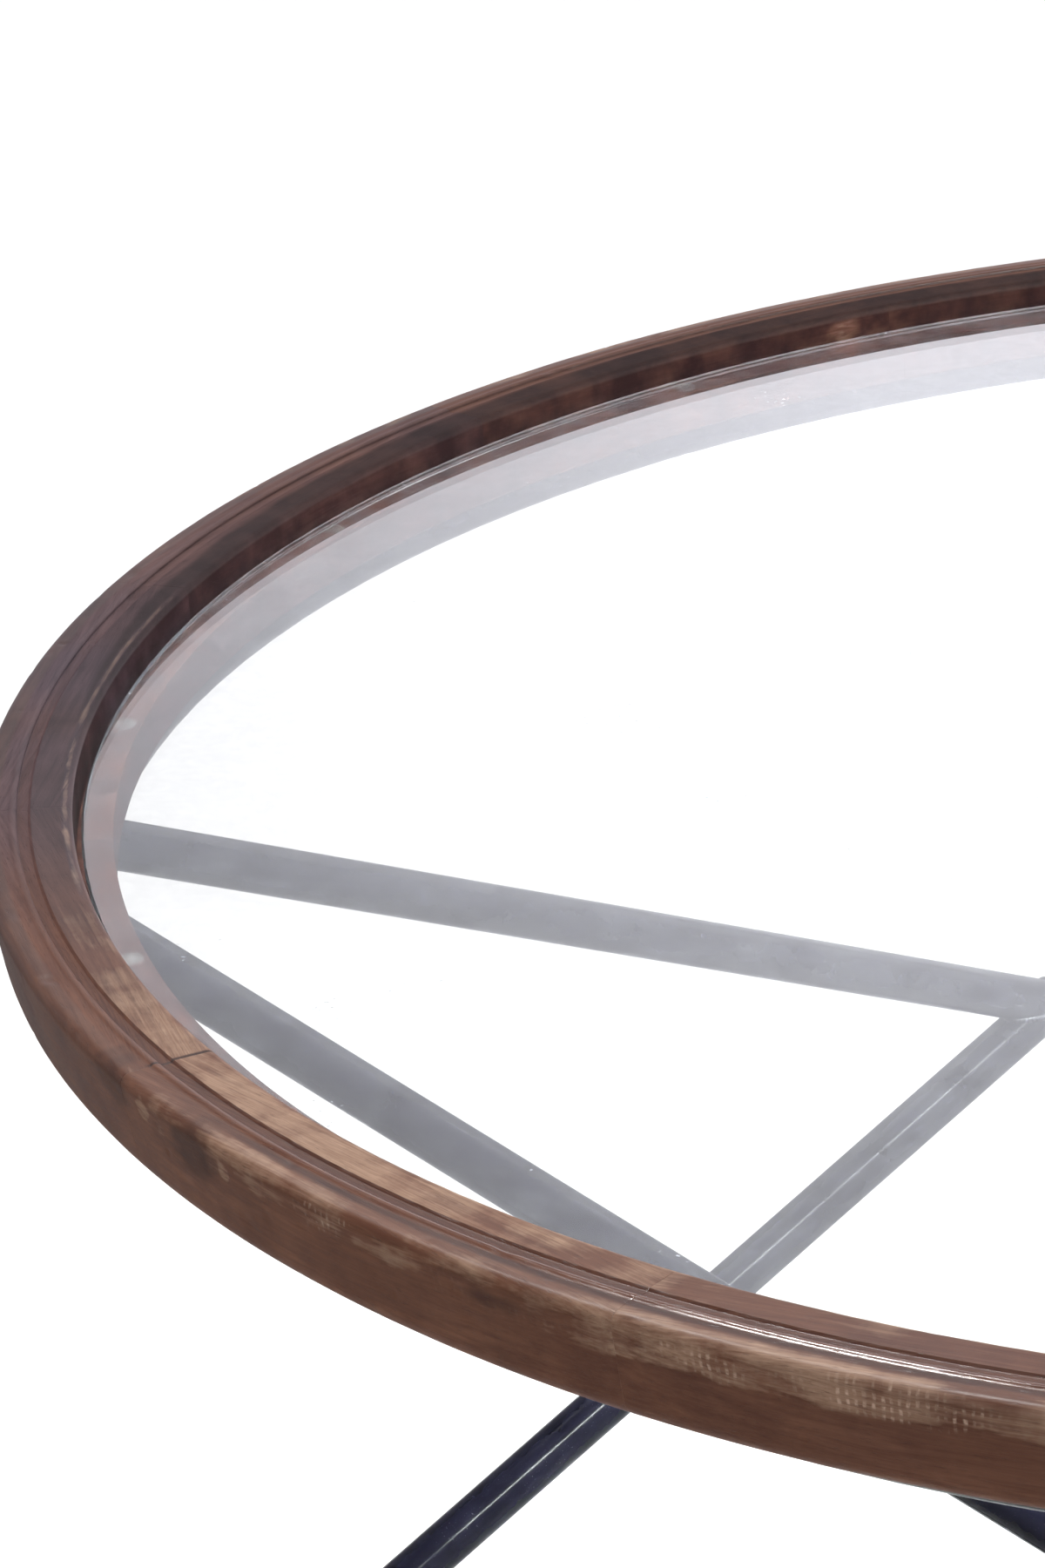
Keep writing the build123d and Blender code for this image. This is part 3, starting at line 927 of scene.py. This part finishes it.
butt = math.radians(apex + seam_shift)
path = []
for k in range(butt_points + 1):
    w = math.radians(90 + butt_open + (360 - 2 * butt_open) * k / butt_points)
    r, z = ring_r + ring_d / 2 * math.cos(w), ring_z + ring_d / 2 * math.sin(w)
    path.append(Vector((r * math.cos(butt), r * math.sin(butt), z)))
weld_piece("weld_ring_butt", [(path, False)], butt_bead)


# ---- stage, light and camera, in metres and degrees -------------------------
floor_r = 30.0
floor_drop = 0.0004      # the floor lies this far under the pads
camera_down, camera_yaw, camera_roll, camera_around = 22.33, 11.78, -3.95, 17.10
camera_back, camera_above = 1.7085952, 0.6715633
camera_lens = 121.238    # millimetres, for a 36 mm sensor
view_turn = math.radians(camera_around + camera_yaw)    # the picture's left to right direction, from +X
key_from = (-0.5, 0.75, 1.7)
tube_lamp_at = (1.174, -0.582, 1.715)     # mirrored along the middle of the near crossing tube
bead_lamp_at = (-0.836, 0.421, 2.057)     # mirrored in the bead on the near side
# the surround where it is mirrored: its level by height, then its share from left to right
low_sky, high_sky = 0.335, 0.44
low_level, high_level = 0.95, 0.52
left_way, right_way = -0.080, 0.072
left_share, right_share = 0.76, 1.64


def make_stage():
    m = Maker("floor")
    soft = m.noise(m.place("object", (1, 1, 1)), 2.0, 2)
    colour = m.mix(m.span(soft, 0.3, 0.7), (0.54, 0.54, 0.54, 1), (0.56, 0.56, 0.56, 1))
    m.set(Base_Color=colour, Roughness=0.9, Specular_IOR_Level=0.0)
    path = m.node("ShaderNodeLightPath")
    level = m.math("MULTIPLY", path.outputs["Is Camera Ray"], 0.50)
    level = m.math("MAXIMUM", level, m.math("MULTIPLY", path.outputs["Is Transmission Ray"], 0.62))
    glow = m.node("ShaderNodeEmission", {"Color": (1, 1, 1, 1), "Strength": level})
    both = m.node("ShaderNodeAddShader")
    m.link(m.shader.outputs[0], both.inputs[0])
    m.link(glow.outputs[0], both.inputs[1])
    m.link(both.outputs[0], m.out.inputs["Surface"])
    bm = bmesh.new()
    bmesh.ops.create_circle(bm, cap_ends=True, segments=96, radius=floor_r)
    mesh = bpy.data.meshes.new("floor")
    bm.to_mesh(mesh)
    bm.free()
    mesh.materials.append(m.material)
    floor = bpy.data.objects.new("floor", mesh)
    floor.location = (0, 0, -floor_drop)
    bpy.context.scene.collection.objects.link(floor)


def make_world():
    """A pale surround, white where it is seen or mirrored low down, dimmer where it is mirrored high up."""
    world = bpy.data.worlds.new("studio")
    world.use_nodes = True
    tree = world.node_tree
    tree.nodes.clear()

    def node(kind, inputs, **settings):
        n = tree.nodes.new(kind)
        for key, value in settings.items():
            setattr(n, key, value)
        for key, value in inputs.items():
            if isinstance(value, bpy.types.NodeSocket):
                tree.links.new(value, n.inputs[key])
            else:
                n.inputs[key].default_value = value
        return n.outputs[0]

    path = tree.nodes.new("ShaderNodeLightPath")
    seen = node("ShaderNodeMath", {0: path.outputs["Is Camera Ray"], 1: path.outputs["Is Glossy Ray"]},
                operation="MAXIMUM")
    seen = node("ShaderNodeMath", {0: seen, 1: path.outputs["Is Transmission Ray"]}, operation="MAXIMUM")
    mirrored = node("ShaderNodeMath", {0: path.outputs["Glossy Depth"], 1: 1.0}, operation="MINIMUM")
    way = tree.nodes.new("ShaderNodeTexCoord").outputs["Generated"]
    split = tree.nodes.new("ShaderNodeSeparateXYZ")
    tree.links.new(way, split.inputs[0])
    sky = node("ShaderNodeMapRange", {"Value": split.outputs[2], "From Min": low_sky, "From Max": high_sky,
                                      "To Min": low_level, "To Max": high_level})
    to_right = (math.cos(view_turn), math.sin(view_turn), 0.0)
    across = node("ShaderNodeVectorMath", {0: way, 1: to_right}, operation="DOT_PRODUCT")
    across = across.node.outputs["Value"]
    grade = node("ShaderNodeMapRange", {"Value": across, "From Min": left_way, "From Max": right_way,
                                        "To Min": left_share, "To Max": right_share})
    sky = node("ShaderNodeMath", {0: sky, 1: grade}, operation="MULTIPLY")
    shown = node("ShaderNodeMix", {0: mirrored, 2: 1.0, 3: sky})
    strength = node("ShaderNodeMix", {0: seen, 2: 0.36, 3: shown})
    tint = node("ShaderNodeMapRange", {"Value": mirrored, "To Min": 1.0, "To Max": 0.93})
    colour = node("ShaderNodeCombineXYZ", {0: tint, 1: tint, 2: 1.0})
    back = node("ShaderNodeBackground", {"Color": colour, "Strength": strength})
    out = tree.nodes.new("ShaderNodeOutputWorld")
    tree.links.new(back, out.inputs["Surface"])
    bpy.context.scene.world = world


def strip_lamp(name, at, size, power, aim, along):
    """A long lamp whose length runs along a direction, for the streaks on polished tubes."""
    data = bpy.data.lights.new(name, "AREA")
    data.shape = "RECTANGLE"
    data.size, data.size_y = size
    data.energy = power
    o = bpy.data.objects.new(name, data)
    bpy.context.scene.collection.objects.link(o)
    back = (Vector(at) - Vector(aim)).normalized()
    side = (along - back * along.dot(back)).normalized()
    turn = Matrix((side, back.cross(side), back)).transposed().to_4x4()
    o.matrix_world = Matrix.Translation(at) @ turn
    o.visible_diffuse = False


def soft_sun(name, toward, strength, spread):
    """Even soft light from one direction, which leaves mirror-like surfaces alone."""
    data = bpy.data.lights.new(name, "SUN")
    data.energy = strength
    data.angle = math.radians(spread)
    o = bpy.data.objects.new(name, data)
    bpy.context.scene.collection.objects.link(o)
    o.matrix_world = (-Vector(toward)).to_track_quat("-Z", "Y").to_matrix().to_4x4()
    o.visible_glossy = False


def make_camera():
    """The photograph's viewpoint: angles and distances from the centre of the rim's top plane."""
    angles = (camera_down, camera_yaw, camera_roll, camera_around)
    pitch_down, yaw, roll, around = (math.radians(v) for v in angles)
    spin = Matrix.Rotation(around + yaw, 3, "Z")
    ahead = spin @ Vector((0, math.cos(pitch_down), -math.sin(pitch_down)))
    up = spin @ Vector((0, math.sin(pitch_down), math.cos(pitch_down)))
    right = spin @ Vector((1, 0, 0))
    right, up = right * math.cos(roll) + up * math.sin(roll), up * math.cos(roll) - right * math.sin(roll)
    at = Matrix.Rotation(around, 3, "Z") @ Vector((0, -camera_back, 0))
    at += Vector((0, 0, table_h * MM + camera_above))
    data = bpy.data.cameras.new("camera")
    data.sensor_width = 36.0
    data.lens = camera_lens
    data.clip_end = 100.0
    o = bpy.data.objects.new("camera", data)
    bpy.context.scene.collection.objects.link(o)
    o.matrix_world = Matrix.Translation(at) @ Matrix((right, up, -ahead)).transposed().to_4x4()
    bpy.context.scene.camera = o


make_stage()
make_world()
soft_sun("key", key_from, 2.15, 60.0)
streak_top, streak_foot = leg_line(1, apex + 180 / frame_count)
tube_middle = (streak_top + streak_foot) / 2 * MM
tube_way = streak_foot - streak_top
strip_lamp("tube_streak", tube_lamp_at, (1.4, 0.06), 220.0, tube_middle, tube_way)
strip_lamp("bead_streak", bead_lamp_at, (0.30, 0.06), 30.0, tube_middle, tube_way)
make_camera()
bpy.context.scene.view_settings.view_transform = "Standard"
